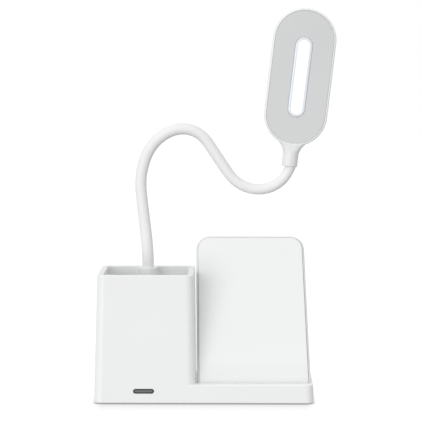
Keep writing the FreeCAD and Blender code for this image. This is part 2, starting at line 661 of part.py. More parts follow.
def gooseneck(places):
    """Each link is a conduit with a ball at its far end, in a sleeve; the next link is cupped over
    that ball, so the pair can bend about the ball's centre."""
    for number, place in enumerate(places, start=1):
        core = fuse(f"conduit_core_{number}", arcCore(f"conduit_bar_{number}", number, "conduit_radius"),
                    ball(f"conduit_ball_{number}", "hose_radius", number))
        bore = arcCore(f"conduit_bore_{number}", number, "wire_bore", "2 * hose_radius")
        jacket = arcCore(f"sleeve_bar_{number}", number, "hose_radius")
        lining = arcCore(f"sleeve_bore_{number}", number, "hose_radius - sleeve_wall")
        end = ball(f"sleeve_end_{number}", "hose_radius + ball_gap", number)
        conduit_tools, sleeve_tools = [bore], [lining, end]
        if number > 1:
            conduit_tools.append(ball(f"conduit_cup_{number}", "hose_radius + joint_gap"))
            sleeve_tools.append(ball(f"sleeve_cup_{number}", "hose_radius + joint_gap"))
        finish(cut(f"conduit_part_{number}", core, *conduit_tools), f"conduit_{number}", place)
        finish(cut(f"sleeve_part_{number}", jacket, *sleeve_tools), f"sleeve_{number}", place)


# ---- head, built upright around the last joint and then tilted ----------------------------------
# The frame starts at the joint: x across the head, y towards its back, z up the neck.

mouth = "sqrt((hose_radius + joint_gap)^2 - hose_radius^2)"
head_z = f"({mouth} + neck_length + head_length / 2)"
head_front = "(-head_thickness / 2)"
head_back = "(head_thickness / 2)"
panel_y = (f"({head_front} + panel_recess)", f"({head_front} + panel_recess + panel_height)")
cavity_back = f"({head_back} - head_wall)"
flange_back = f"({panel_y[1]} + lens_flange_height)"
strip_front = f"({flange_back} + strip_setback)"
peg_places = [(f"{a}peg_x", f"{head_z} {b} peg_rise") for a in ("-", "") for b in ("-", "+")]
strip_half = "(lens_length / 2 - strip_end_gap)"
strip_screw_rise = f"({strip_half} - strip_edge - screw_head_radius)"
strip_screw_places = [("0", f"{head_z} {side} {strip_screw_rise}") for side in ("-", "+")]
last_chip = f"({strip_screw_rise} - screw_head_radius - chip_gap - chip_side / 2)"


def headSlot(name, length, width, y):
    """An upright racetrack block in the middle of the head, between two depths."""
    owner = body(name)
    outline = racetrack(sketchOn(owner, "XZ_Plane", f"-({y[0]})"), 0, f"(({length}) - ({width})) / 2",
                        f"({width}) / 2", 0, head_z)
    pad(owner, outline, f"({y[1]}) - ({y[0]})", back=True)
    return owner


def headCover():
    """Back cover and neck in one: the neck flares into the racetrack's lower end."""
    cover = headSlot("cover_block", "head_length", "head_width", (head_front, head_back))
    half = size("head_thickness") / 2
    roundEdges(cover, "head_back_round", lambda edge: liesAt(edge, 1, half))
    roundEdges(cover, "head_front_round", lambda edge: liesAt(edge, 1, -half))
    neck = body("neck_block")
    tube = neck.newObject("PartDesign::AdditiveCylinder", "neck_tube")
    at(bind(tube, Radius="neck_radius", Height="neck_straight"), 0, 0, mouth)
    doc.recompute()
    mouth_z = neck.Shape.BoundBox.ZMin
    roundEdges(neck, "neck_edge_round", lambda edge: liesAt(edge, 2, mouth_z))
    sections = []
    for i in range(flare_sections):
        share = i / (flare_sections - 1)
        section = make("Part::Ellipse", f"flare_section_{i}",
                       MajorRadius=f"neck_radius - flare_step + (flare_half_width - neck_radius)"
                                   f" * {share ** flare_power:.4f}",
                       MinorRadius="neck_radius - 2 * flare_step + (flare_half_depth - neck_radius)"
                                   f" * {share}")
        sections.append(at(section, 0, 0, f"{mouth} + neck_straight + flare_rise * {share}"))
    flare = doc.addObject("Part::Loft", "flare")
    flare.Sections = sections
    flare.Solid = True
    outside = fuse("cover_outside", cover, neck, flare)
    rim, shelf = "head_rim", "(head_rim + head_shelf)"
    recess = headSlot("panel_recess", f"head_length - 2 * {rim}", f"head_width - 2 * {rim}",
                      (f"{head_front} - overshoot", panel_y[1]))
    cavity = headSlot("head_cavity", f"head_length - 2 * {shelf}", f"head_width - 2 * {shelf}",
                      (head_front, cavity_back))
    ferrule_bore = rod("ferrule_bore", "ferrule_radius + ferrule_gap",
                       ("0", f"{mouth} + ferrule_rise + ferrule_length"))
    wire_hole = rod("head_wire_hole", "wire_bore", ("0", f"{mouth} + neck_length + {shelf} + overshoot"))
    hollow = cut("cover_hollow", outside, recess, cavity, ball("head_cup", "hose_radius + joint_gap"),
                 ferrule_bore, wire_hole)
    posts = [rodAlongY(f"peg_post_{i}", "peg_post_radius",
                       (f"{panel_y[1]} + joint_gap", f"{cavity_back} + head_wall / 2"), x, z)
             for i, (x, z) in enumerate(peg_places)]
    posts += [rodAlongY(f"strip_post_{i}", "peg_post_radius",
                        (f"{strip_front} + strip_height", f"{cavity_back} + head_wall / 2"), x, z)
              for i, (x, z) in enumerate(strip_screw_places)]
    holes = [rodAlongY(f"peg_hole_{i}", "peg_radius + pilot_gap",
                       (panel_y[1], f"{panel_y[1]} + peg_length + tip_gap"), x, z)
             for i, (x, z) in enumerate(peg_places)]
    holes += [rodAlongY(f"strip_pilot_{i}", pilot,
                        (strip_front, f"{strip_front} + strip_screw_length + tip_gap"), x, z)
              for i, (x, z) in enumerate(strip_screw_places)]
    return cut("head_cover_part", fuse("cover_with_posts", hollow, *posts), *holes)


def headParts(place):
    finish(headCover(), "head_cover", place)
    ferrule_z = (f"{mouth} + ferrule_rise", f"{mouth} + ferrule_rise + ferrule_length")
    finish(cut("ferrule_part", rod("ferrule_outer", "ferrule_radius", ferrule_z),
               rod("ferrule_inner", "stem_bore", ("0", f"{mouth} + neck_length"))), "neck_ferrule", place)

    gap = "2 * (head_rim + fit_gap)"
    panel = headSlot("panel_block", f"head_length - {gap}", f"head_width - {gap}", panel_y)
    pegs = [rodAlongY(f"peg_{i}", "peg_radius",
                      (f"{panel_y[1]} - panel_height / 2", f"{panel_y[1]} + peg_length"), x, z)
            for i, (x, z) in enumerate(peg_places)]
    lens_hole = headSlot("lens_hole", "lens_length + 2 * fit_gap", "lens_width + 2 * fit_gap",
                         (f"{head_front} - overshoot", f"{panel_y[1]} + overshoot"))
    finish(cut("face_panel_part", fuse("panel_with_pegs", panel, *pegs), lens_hole), "face_panel", place)

    lens = headSlot("lens_block", "lens_length", "lens_width", (f"{panel_y[0]} - lens_proud", panel_y[1]))
    doc.recompute()
    lens_front = lens.Shape.BoundBox.YMin
    bevelEdges(lens, "lens_bevel", lambda edge: liesAt(edge, 1, lens_front))
    flange_size = ("lens_length + 2 * lens_flange", "lens_width + 2 * lens_flange")
    flange = headSlot("lens_flange_block", *flange_size, (panel_y[1], flange_back))
    finish(fuse("lens_part", lens, flange), "light_lens", place)

    frame = headSlot("frame_outer", *flange_size, (flange_back, cavity_back))
    frame_inner = headSlot("frame_inner", f"{flange_size[0]} - 2 * frame_wall",
                           f"{flange_size[1]} - 2 * frame_wall", (head_front, head_back))
    finish(cut("light_frame_part", frame, frame_inner), "light_frame", place)

    strip = block("strip_blank", ("-strip_width / 2", "strip_width / 2"),
                  (strip_front, f"{strip_front} + strip_height"),
                  (f"{head_z} - {strip_half}", f"{head_z} + {strip_half}"))
    strip_holes = [rodAlongY(f"strip_hole_{i}", clear_hole, (head_front, head_back), x, z)
                   for i, (x, z) in enumerate(strip_screw_places)]
    finish(cut("light_strip_part", strip, *strip_holes), "light_strip", place)
    chips = []
    for i in range(chip_count):
        middle = f"{head_z} + {2 * i / (chip_count - 1) - 1} * {last_chip}"
        chips.append(block(f"chip_{i}", ("-chip_side / 2", "chip_side / 2"),
                           (f"{strip_front} - chip_height", strip_front),
                           (f"{middle} - chip_side / 2", f"{middle} + chip_side / 2")))
    finish(group("chips_group", chips), "light_chips", place)
    pieces = []
    for i, (x, z) in enumerate(strip_screw_places):
        head = rodAlongY(f"strip_head_{i}", "screw_head_radius",
                         (f"{strip_front} - screw_head_height", strip_front), x, z)
        shank = rodAlongY(f"strip_shank_{i}", "screw_radius",
                          (strip_front, f"{strip_front} + strip_screw_length"), x, z)
        pieces.append(fuse(f"strip_screw_{i}", head, shank))
    finish(group("strip_screws_group", pieces), "strip_screws", place)


# ---- the whole lamp -----------------------------------------------------------------------------

baseHousing()
floorParts()
boardParts()
phoneStand()
stem()
link_places, head_joint = linkPlaces()
gooseneck(link_places)
headParts(Placement(head_joint, Rotation(Vector(0, 1, 0), size("head_tilt"))))
doc.recompute()

broken = [thing.Name for thing in doc.Objects if "Invalid" in thing.State or "Error" in thing.State]
broken += [part.Label for part in finished if part.Shape.isNull() or not part.Shape.isValid()]
if broken:
    raise RuntimeError("failed: " + ", ".join(broken))

os.makedirs("parts", exist_ok=True)
for part in finished:
    part.Shape.exportStep(f"parts/{part.Label}.step")
    print(f"{part.Label}: {len(part.Shape.Solids)} solids, {part.Shape.Volume / 1000:.2f} cm3")
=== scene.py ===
import bpy
import json
import math
import numpy as np
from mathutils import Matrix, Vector


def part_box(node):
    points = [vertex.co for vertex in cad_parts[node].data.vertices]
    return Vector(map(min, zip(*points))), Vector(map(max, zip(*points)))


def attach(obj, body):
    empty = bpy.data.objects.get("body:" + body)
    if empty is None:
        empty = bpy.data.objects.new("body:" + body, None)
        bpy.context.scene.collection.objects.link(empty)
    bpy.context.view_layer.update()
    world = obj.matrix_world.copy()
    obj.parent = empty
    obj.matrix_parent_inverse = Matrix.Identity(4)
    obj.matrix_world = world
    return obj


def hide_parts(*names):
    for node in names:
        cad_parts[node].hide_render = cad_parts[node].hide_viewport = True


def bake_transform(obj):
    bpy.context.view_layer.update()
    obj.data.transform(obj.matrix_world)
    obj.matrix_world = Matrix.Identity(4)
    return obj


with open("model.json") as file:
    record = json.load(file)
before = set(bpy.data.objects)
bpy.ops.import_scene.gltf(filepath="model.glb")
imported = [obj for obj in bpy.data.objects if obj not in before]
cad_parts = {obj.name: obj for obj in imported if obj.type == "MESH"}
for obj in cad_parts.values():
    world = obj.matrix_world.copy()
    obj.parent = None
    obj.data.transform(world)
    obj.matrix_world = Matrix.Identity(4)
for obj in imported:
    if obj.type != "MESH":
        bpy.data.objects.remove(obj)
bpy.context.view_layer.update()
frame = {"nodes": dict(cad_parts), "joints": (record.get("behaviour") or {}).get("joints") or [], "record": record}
nodes = frame["nodes"]
mm = 0.001


# the leaning stand and the tilted head have their own frames: origin in mm, then the x, y and z axes
frameValues = {"standLean": 18.0, "standFoot": (0.0, -30.0, 15.2), "headTilt": 6.8}
standLean, headTilt = math.radians(frameValues["standLean"]), math.radians(frameValues["headTilt"])
standFrame = (np.array(frameValues["standFoot"]), np.array([1.0, 0, 0]),
              np.array([0, math.cos(standLean), -math.sin(standLean)]),
              np.array([0, math.sin(standLean), math.cos(standLean)]))
headJoint = np.array(frame["joints"][-1]["pos_m"]) / mm
headFrame = (headJoint, np.array([math.cos(headTilt), 0, -math.sin(headTilt)]), np.array([0, 1.0, 0]),
             np.array([math.sin(headTilt), 0, math.cos(headTilt)]))
plainFrame = (np.zeros(3), np.array([1.0, 0, 0]), np.array([0, 1.0, 0]), np.array([0, 0, 1.0]))


# local x, y, z in mm to the row frame in metres: origin plus each number times its axis
def place(points, where):
    origin, xAxis, yAxis, zAxis = where
    return (origin + points[..., 0:1] * xAxis + points[..., 1:2] * yAxis + points[..., 2:3] * zAxis) * mm


# mesh of a grid of rings: row i, column j joins row i + 1 and column j + 1, with the columns closed on
# themselves; both ends get a flat cap, or the last ring joins the first where the rings make a hoop
def ringMesh(name, points, hoop=False, sharpAngle=38.0, normals=None, across=None):
    rows, columns = points.shape[:2]
    grid = np.arange(rows * columns).reshape(rows, columns)
    if hoop:
        grid = np.vstack([grid, grid[:1]])
    a, b = grid[:-1], grid[1:]
    quads = np.stack([a, np.roll(a, -1, 1), np.roll(b, -1, 1), b], -1).reshape(-1, 4)
    flat = points.reshape(-1, 3)
    corners = flat[quads]
    volume = (np.einsum("ij,ij->i", corners[:, 0], np.cross(corners[:, 1], corners[:, 2]))
              + np.einsum("ij,ij->i", corners[:, 0], np.cross(corners[:, 2], corners[:, 3]))).sum()
    faces = quads.tolist()
    if not hoop:
        caps = [grid[0][::-1], grid[-1]]
        for cap in caps:  # the caps add their own share of the volume, as fans
            fan = flat[cap]
            volume += np.einsum("ij,ij->i", np.broadcast_to(fan[0], fan[1:-1].shape),
                                np.cross(fan[1:-1], fan[2:])).sum()
            faces.append(cap.tolist())
    if volume < 0:
        faces = [face[::-1] for face in faces]
    mesh = bpy.data.meshes.new(name)
    mesh.from_pydata(flat.tolist(), [], faces)
    mesh.update()
    mesh.polygons.foreach_set("use_smooth", [True] * len(mesh.polygons))
    mesh.set_sharp_from_angle(angle=math.radians(sharpAngle))
    if across is not None:
        layer = mesh.attributes.new("across", "FLOAT", "POINT")
        layer.data.foreach_set("value", np.repeat(across, columns).astype(np.float32))
    if normals is not None:
        mesh.normals_split_custom_set_from_vertices(normals.reshape(-1, 3).tolist())
    piece = bpy.data.objects.new(name, mesh)
    bpy.context.scene.collection.objects.link(piece)
    return piece


# quarter round of an edge: (inset, depth) from a flat face into a side, radius r, in a few steps
def quarterRound(radius, steps=6):
    turn = np.linspace(0, math.pi / 2, steps + 1)
    return radius * (1 - np.sin(turn)), radius * (1 - np.cos(turn))


# one finish for a piece: its skin, its body and the nodes it stands for
def finishPiece(piece, skin, body=None, stands=()):
    piece.data.materials.clear()
    piece.data.materials.append(skins[skin])
    if body:
        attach(piece, body)
    if stands:
        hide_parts(*stands)
    return piece


# materials
def newGroup(name, inputs, outputs):
    tree = bpy.data.node_groups.new(name, "ShaderNodeTree")
    for label, value in inputs.items():
        kind = "NodeSocketColor" if isinstance(value, tuple) else "NodeSocketFloat"
        tree.interface.new_socket(label, in_out="INPUT", socket_type=kind).default_value = value
    for label, kind in outputs.items():
        tree.interface.new_socket(label, in_out="OUTPUT", socket_type=kind)
    return tree, tree.nodes.new("NodeGroupInput"), tree.nodes.new("NodeGroupOutput")


def addNode(tree, kind, **values):
    node = tree.nodes.new(kind)
    for key, value in values.items():
        if key in node.inputs:
            node.inputs[key].default_value = value
        else:
            setattr(node, key, value)
    return node


# gives an input its value: another node's output or a plain number
def feed(tree, socket, value):
    if isinstance(value, bpy.types.NodeSocket):
        tree.links.new(value, socket)
    else:
        socket.default_value = value


def addMath(tree, operation, *values):
    node = addNode(tree, "ShaderNodeMath", operation=operation)
    for socket, value in zip(node.inputs, values):
        feed(tree, socket, value)
    return node.outputs[0]


# a number that goes from ends[0] to ends[1] while the value goes over the span, and stays there beyond it
def addRamp(tree, value, span=(0.0, 1.0), ends=(0.0, 1.0), **settings):
    ramp = addNode(tree, "ShaderNodeMapRange", **settings)
    labels = ("Value", "From Min", "From Max", "To Min", "To Max")
    for label, number in zip(labels, (value, *span, *ends)):
        feed(tree, ramp.inputs[label], number)
    return ramp.outputs["Result"]


def addPlace(tree, kind="Object"):
    parts = addNode(tree, "ShaderNodeSeparateXYZ")
    tree.links.new(addNode(tree, "ShaderNodeTexCoord").outputs[kind], parts.inputs[0])
    return parts.outputs


skinValues = {"inputs": {"Colour": (0.9, 0.9, 0.9, 1), "Patch Colour": (0.88, 0.88, 0.88, 1),
                         "Patch Scale": 30.0, "Grain Scale": 2200.0, "Rough Low": 0.35, "Rough High": 0.45},
              "patchDetail": 2.0, "patchSpan": (0.3, 0.7), "grainDetail": 3.0, "grainRoughness": 0.6}


# moulded surface: broad faint patches between two colours, a fine grain as height, and a slow
# change of roughness between two values
def makeMouldedSkin():
    v = skinValues
    tree, given, result = newGroup("mouldedSkin", v["inputs"], {
        "Colour": "NodeSocketColor", "Roughness": "NodeSocketFloat", "Height": "NodeSocketFloat"})
    where = addNode(tree, "ShaderNodeTexCoord")
    patch = addNode(tree, "ShaderNodeTexNoise", Detail=v["patchDetail"])
    grain = addNode(tree, "ShaderNodeTexNoise", Detail=v["grainDetail"], Roughness=v["grainRoughness"])
    for noise, scale in ((patch, "Patch Scale"), (grain, "Grain Scale")):
        tree.links.new(where.outputs["Object"], noise.inputs["Vector"])
        tree.links.new(given.outputs[scale], noise.inputs["Scale"])
    mix = addNode(tree, "ShaderNodeMix", data_type="RGBA")
    tree.links.new(patch.outputs["Fac"], mix.inputs["Factor"])
    tree.links.new(given.outputs["Colour"], mix.inputs["A"])
    tree.links.new(given.outputs["Patch Colour"], mix.inputs["B"])
    roughness = addRamp(tree, patch.outputs["Fac"], v["patchSpan"],
                        (given.outputs["Rough Low"], given.outputs["Rough High"]))
    tree.links.new(mix.outputs["Result"], result.inputs["Colour"])
    tree.links.new(roughness, result.inputs["Roughness"])
    tree.links.new(grain.outputs["Fac"], result.inputs["Height"])
    return tree


mouldedSkin = makeMouldedSkin()


# a material on the moulded skin: two colours, the grain's numbers as skinTable gives them, and what else
# is set on its shader
def skinMaterial(name, colour, patchColour, grain, shader):
    patchScale, grainScale, roughLow, roughHigh, bumpStrength, bumpDepth = grain
    material = bpy.data.materials.new(name)
    material.use_nodes = True
    tree = material.node_tree
    principled = tree.nodes["Principled BSDF"]
    skin = addNode(tree, "ShaderNodeGroup", node_tree=mouldedSkin)
    given = {"Colour": (*colour, 1), "Patch Colour": (*patchColour, 1), "Patch Scale": patchScale,
             "Grain Scale": grainScale, "Rough Low": roughLow, "Rough High": roughHigh}
    for label, value in given.items():
        skin.inputs[label].default_value = value
    bump = addNode(tree, "ShaderNodeBump", Strength=bumpStrength, Distance=bumpDepth)
    tree.links.new(skin.outputs["Colour"], principled.inputs["Base Color"])
    tree.links.new(skin.outputs["Roughness"], principled.inputs["Roughness"])
    tree.links.new(skin.outputs["Height"], bump.inputs["Height"])
    tree.links.new(bump.outputs["Normal"], principled.inputs["Normal"])
    for label, value in shader.items():
        principled.inputs[label].default_value = value
    return material


# mixes a second colour over a material's own, by a share from 0 to 1
def mixOver(material, share, colour):
    tree = material.node_tree
    base = tree.nodes["Principled BSDF"].inputs["Base Color"]
    mix = addNode(tree, "ShaderNodeMix", data_type="RGBA")
    mix.inputs["B"].default_value = (*colour, 1)
    tree.links.new(share, mix.inputs["Factor"])
    tree.links.new(base.links[0].from_socket, mix.inputs["A"])
    tree.links.new(mix.outputs["Result"], base)


# a second colour, and a glow, by the piece's own across attribute, which tells how far in from the outline
# a point lies, in mm: none at band[0] and all at band[1]
def addBand(material, band, colour, glow=0.0):
    tree = material.node_tree
    across = addNode(tree, "ShaderNodeAttribute", attribute_name="across")
    share = addRamp(tree, across.outputs["Fac"], band, interpolation_type="SMOOTHSTEP")
    mixOver(material, share, colour)
    if glow:
        principled = tree.nodes["Principled BSDF"]
        shine = addNode(tree, "ShaderNodeMix", data_type="RGBA")
        shine.inputs["A"].default_value, shine.inputs["B"].default_value = (0, 0, 0, 1), (1, 1, 1, 1)
        tree.links.new(share, shine.inputs["Factor"])
        tree.links.new(shine.outputs["Result"], principled.inputs["Emission Color"])
        principled.inputs["Emission Strength"].default_value = glow


# a second colour by place in the row frame: its share is the product of the ramps, and each ramp
# (axis, span) rises from 0 to 1 between two places, in metres
def addPatch(material, ramps, colour):
    tree = material.node_tree
    spot = addPlace(tree)
    share = 1.0
    for axis, span in ramps:
        share = addRamp(tree, spot[axis], span, (0.0, share))
    mixOver(material, share, colour)


# each skin: colour and patch colour; the scales of its patches and grain, its lowest and highest roughness,
# the grain's strength and its depth in metres; and what else is set on its shader. The white mouldings
# share one grain. The stand's face and the neck are darker copies of the same white: painted shade, on the
# face to take back the extra light that its lean catches, on the neck for the shade under the head; the
# base's copy carries a painted highlight on its ledge
whiteGrain = (22.0, 2600.0, 0.42, 0.52, 0.12, 0.00006)
whiteCoat = {"Coat Weight": 0.1, "Coat Roughness": 0.15}
skinTable = {
    "whitePlastic": ((0.884, 0.889, 0.893), (0.876, 0.881, 0.886), whiteGrain, whiteCoat),
    "baseHighlightPlastic": ((0.884, 0.889, 0.893), (0.876, 0.881, 0.886), whiteGrain, whiteCoat),
    "faceShadedPlastic": ((0.864, 0.869, 0.873), (0.856, 0.861, 0.866), whiteGrain, whiteCoat),
    "neckShadedPlastic": ((0.82, 0.825, 0.83), (0.81, 0.815, 0.82), whiteGrain, {}),
    "panelGrey": ((0.665, 0.67, 0.675), (0.65, 0.655, 0.66),
                  (30.0, 3000.0, 0.45, 0.55, 0.15, 0.00005), {}),
    "opalLens": ((0.80, 0.84, 0.885), (0.79, 0.83, 0.88),
                 (40.0, 3000.0, 0.22, 0.3, 0.05, 0.00003), {"Coat Weight": 0.25}),
    "smokedWindow": ((0.012, 0.012, 0.014), (0.02, 0.02, 0.022),
                     (120.0, 2000.0, 0.12, 0.2, 0.03, 0.00002), {"Coat Weight": 0.2}),
    "sleeveSkin": ((0.88, 0.88, 0.878), (0.86, 0.862, 0.862),
                   (35.0, 3200.0, 0.5, 0.6, 0.05, 0.00002), {"Specular IOR Level": 0.25}),
    "footRubber": ((0.2, 0.2, 0.205), (0.25, 0.25, 0.25),
                   (300.0, 2500.0, 0.7, 0.85, 0.4, 0.00012), {}),
    "plainSteel": ((0.6, 0.6, 0.61), (0.52, 0.52, 0.54),
                   (500.0, 4000.0, 0.25, 0.42, 0.2, 0.00004), {"Metallic": 1.0}),
    "boardLaminate": ((0.05, 0.22, 0.09), (0.07, 0.27, 0.12),
                      (250.0, 3000.0, 0.35, 0.5, 0.2, 0.00004), {}),
    "coilCopper": ((0.7, 0.36, 0.18), (0.62, 0.3, 0.14),
                   (400.0, 3500.0, 0.3, 0.45, 0.3, 0.00006), {"Metallic": 1.0}),
    "sinteredFerrite": ((0.09, 0.09, 0.1), (0.13, 0.13, 0.135),
                        (300.0, 2500.0, 0.55, 0.7, 0.4, 0.00008), {}),
    "phosphor": ((0.92, 0.82, 0.42), (0.88, 0.76, 0.36),
                 (900.0, 5000.0, 0.4, 0.55, 0.2, 0.00003), {}),
}
skins = {name: skinMaterial(name, *row) for name, row in skinTable.items()}

# second colours: painted shade on the face, darker towards its foot, and a painted highlight along the top of
# the base's ledge, by place in metres; the lens glows, and the window's painted reflection is lighter in the
# middle, by the way in from their outlines in mm
tintValues = {"faceFoot": (0.033, 0.015), "faceShadeColour": (0.76, 0.765, 0.77),
              "ledgeSide": (-0.0155, -0.0148), "ledgeTop": (0.0146, 0.0151),
              "ledgeHighlightColour": (0.97, 0.97, 0.97), "lensBand": (1.9, 2.8),
              "lensColour": (0.93, 0.94, 0.95), "lensGlow": 0.35, "windowBand": (0.4, 1.7),
              "windowReflectionColour": (0.15, 0.15, 0.153)}
addPatch(skins["faceShadedPlastic"], [("Z", tintValues["faceFoot"])], tintValues["faceShadeColour"])
addPatch(skins["baseHighlightPlastic"], [("X", tintValues["ledgeSide"]), ("Z", tintValues["ledgeTop"])],
         tintValues["ledgeHighlightColour"])
addBand(skins["opalLens"], tintValues["lensBand"], tintValues["lensColour"], tintValues["lensGlow"])
addBand(skins["smokedWindow"], tintValues["windowBand"], tintValues["windowReflectionColour"])

slotSkins = {"white_plastic": "whitePlastic", "grey_plastic": "panelGrey", "opal_plastic": "opalLens",
             "smoked_plastic": "smokedWindow", "sleeve_rubber": "sleeveSkin",
             "foot_rubber": "footRubber", "steel": "plainSteel", "board_laminate": "boardLaminate",
             "tinned_copper": "coilCopper", "ferrite": "sinteredFerrite", "light_chip": "phosphor"}
for entry in frame["record"]["subparts"]:
    node = nodes[entry["node"]]
    node.data.materials.clear()
    node.data.materials.append(skins[slotSkins[entry["material_slot"]]])
# the base gets the white with the painted highlight on its ledge
nodes["base_housing"].data.materials[0] = skins["baseHighlightPlastic"]
print("stage: materials on", len(nodes), "nodes")


# phone stand
standValues = {"left": -14.9, "right": 73.9, "leftDraft": 0.75, "rightDraft": 2.5, "length": 118.3,
               "corner": 11.0, "thickness": 9.0, "rimFront": 0.7, "rim": 1.65, "frontRound": 1.35,
               "rimSlope": 2.6, "backRound": 2.0, "recess": 2.2, "faceGap": 0.02, "faceRound": 0.7,
               "ledgeGap": 0.05, "seatDrop": 0.4, "seatGap": 0.02, "cornerSteps": 24, "frontSteps": 8,
               "floorRun": 4.0, "flatStart": 0.4, "flatRun": 8.0, "faceFlat": 0.3}


# rings of the stand's outline: each ring is moved in by its inset and lies at its depth; the sides lean
# by their drafts, the upper corners are arcs of the corner radius less the inset
def standRings(inset, depth, low):
    v = standValues
    a, b = math.radians(v["leftDraft"]), math.radians(v["rightDraft"])
    inset, depth = np.asarray(inset, float)[:, None], np.asarray(depth, float)[:, None]
    radius = v["corner"] - inset
    top = v["length"] - inset
    centreZ = top - radius
    leftX = v["left"] + inset + (radius - centreZ * math.sin(a)) / math.cos(a)
    rightX = v["right"] - inset - (radius + centreZ * math.sin(b)) / math.cos(b)
    sweep = np.linspace(0, 1, v["cornerSteps"] + 1)[None]
    rightTurn = b + (math.pi / 2 - b) * sweep
    leftTurn = math.pi / 2 + (math.pi / 2 + a) * sweep
    low = np.broadcast_to(np.asarray(low, float).reshape(-1, 1), depth.shape)
    x = np.hstack([v["left"] + inset - low * math.tan(a), v["right"] - inset - low * math.tan(b),
                   rightX + radius * np.cos(rightTurn), leftX + radius * np.cos(leftTurn)])
    z = np.hstack([low, low, centreZ + radius * np.sin(rightTurn), centreZ + radius * np.sin(leftTurn)])
    return np.stack([x, np.broadcast_to(depth, x.shape), z], -1)


# shell: from the recess's floor up its wall, over the rim, whose round edge is stretched rimSlope times in
# depth, down the side and round to the back; face: a plate with a rounded edge; both feet are cut level,
# so their low end rises with the depth
def buildStand():
    v = standValues
    frontIn, frontDeep = quarterRound(v["frontRound"], v["frontSteps"])
    frontDeep = frontDeep * v["rimSlope"]
    backIn, backDeep = quarterRound(v["backRound"])
    inset = np.concatenate([[v["rim"] + v["floorRun"], v["rim"]], frontIn, backIn[::-1],
                            [v["backRound"] + v["flatStart"], v["backRound"] + v["flatRun"]]])
    depth = np.concatenate([[v["recess"]] * 2, v["rimFront"] + frontDeep,
                            v["thickness"] - backDeep[::-1], [v["thickness"]] * 2])
    low = depth * math.tan(standLean) - v["seatDrop"] / math.cos(standLean)
    shell = ringMesh("standShell", place(standRings(inset, depth, low), standFrame))
    finishPiece(shell, "whitePlastic", "base", ["stand_shell"])
    faceIn, faceDeep = quarterRound(v["faceRound"])
    edge = v["rim"] + v["faceGap"]
    inset = np.concatenate([[edge + v["flatRun"], edge + v["faceRound"] + v["faceFlat"]], edge + faceIn,
                            [edge, edge + v["floorRun"]]])
    depth = np.concatenate([[0, 0], faceDeep, [v["recess"] - v["seatGap"]] * 2])
    low = v["ledgeGap"] + depth * math.tan(standLean)
    face = ringMesh("standFace", place(standRings(inset, depth, low), standFrame))
    # the face's darker white is painted shade
    finishPiece(face, "faceShadedPlastic", "base", ["stand_face"])


buildStand()
print("stage: stand")


# light head
headValues = {"mouth": 1.67, "neckLength": 16.6, "length": 109.6, "width": 50.2, "thickness": 12.0,
              "rim": 1.6, "frontRound": 1.05, "frontSteps": 7, "rimSlope": 2.6, "backRound": 3.2,
              "backSteps": 8, "recess": 2.1, "rimRound": 0.2, "rimSteps": 3, "floorRun": 4.0,
              "flatStart": 0.5, "flatRun": 8.0, "halfSteps": 48,
              "panelRecess": 0.3, "panelRound": 0.25, "panelSteps": 3, "panelFlat": 1.0, "gap": 0.12,
              "seatGap": 0.02, "lensLength": 63.6, "lensWidth": 13.5, "lensProud": 0.7, "lensSunk": 1.7,
              "lensProfile": ((4.5, 0.0), (2.6, 0.0), (1.8, 0.0), (1.1, 0.0), (0.6, 0.04), (0.18, 0.28),
                              (0.0, 0.6)), "lensSteps": 24}
headMiddle = headValues["mouth"] + headValues["neckLength"] + headValues["length"] / 2


# rings of an upright racetrack: radius times cosine and sine, with the upper half moved up and the lower
# half moved down by half the straight run; each ring lies at its depth
def racetrackRings(radius, halfRun, depth, middle, steps):
    radius, depth = np.asarray(radius, float)[:, None], np.asarray(depth, float)[:, None]
    upper = np.linspace(0, math.pi, steps + 1)[None]
    x = np.hstack([radius * np.cos(upper), -radius * np.cos(upper)])
    z = np.hstack([halfRun + radius * np.sin(upper), -halfRun - radius * np.sin(upper)]) + middle
    return np.stack([x, np.broadcast_to(depth, x.shape), z], -1)


